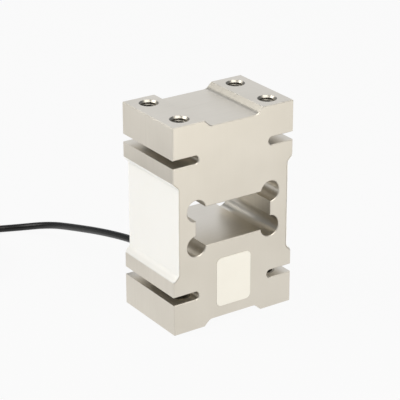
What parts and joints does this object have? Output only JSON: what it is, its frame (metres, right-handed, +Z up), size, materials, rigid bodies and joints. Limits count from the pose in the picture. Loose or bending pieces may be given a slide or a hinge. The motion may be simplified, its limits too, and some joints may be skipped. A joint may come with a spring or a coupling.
{
  "type": "single point load cell",
  "caption": "Milled aluminium load cell body with a lobed window, bonded white side covers, a potted wiring cavity and a coiled black cable.",
  "frame": {"origin": "centre of the body's bottom, on the plane of its two bottom pads", "axes": "+Z up along the body from the base end to the load end, +Y from the front face with the plug to the back face with the cable, +X across the window"},
  "size_m": [0.2677, 0.2551, 0.17],
  "materials": {
    "aluminium": "satin milled",
    "silicone_sheet": "matt",
    "cream_potting": "matt",
    "board_laminate": "satin",
    "grey_foam": "open foam",
    "resistor_lacquer": "lacquered",
    "gauge_film": "polyimide film",
    "strip_laminate": "glass laminate",
    "fine_wire": "enamelled",
    "core_insulation": "extruded",
    "cable_jacket": "satin extruded",
    "bush_rubber": "moulded",
    "plated_steel": "nickel plated",
    "black_nylon": "moulded",
    "shrink_sleeve": "shrunk",
    "red_insulation": "extruded",
    "black_insulation": "extruded",
    "green_insulation": "extruded",
    "white_insulation": "extruded",
    "shield_insulation": "extruded",
    "tinned_copper": "tinned"
  },
  "bodies": {
    "root": {"beam": "aluminium", "left_cover": "silicone_sheet", "right_cover": "silicone_sheet", "cavity_plug": "cream_potting", "trim_board": "board_laminate", "board_pad": "grey_foam", "zero_trim_resistor": "resistor_lacquer", "zero_temperature_resistor": "resistor_lacquer", "span_trim_resistor": "resistor_lacquer", "span_temperature_resistor": "resistor_lacquer", "upper_left_gauge": "gauge_film", "lower_left_gauge": "gauge_film", "left_terminal_strip": "strip_laminate", "left_gauge_wires": "fine_wire", "upper_right_gauge": "gauge_film", "lower_right_gauge": "gauge_film", "right_terminal_strip": "strip_laminate", "right_gauge_wires": "fine_wire", "board_leads": "core_insulation", "cable_bush": "bush_rubber", "cable_clamp": "plated_steel", "cable": "cable_jacket", "cable_coil": "cable_jacket", "cable_tail": "cable_jacket", "cable_tie_near": "black_nylon", "cable_tie_far": "black_nylon", "jacket_sleeve": "shrink_sleeve", "red_lead": "red_insulation", "black_lead": "black_insulation", "green_lead": "green_insulation", "white_lead": "white_insulation", "shield_lead": "shield_insulation", "lead_tips": "tinned_copper"}
  },
  "joints": []
}
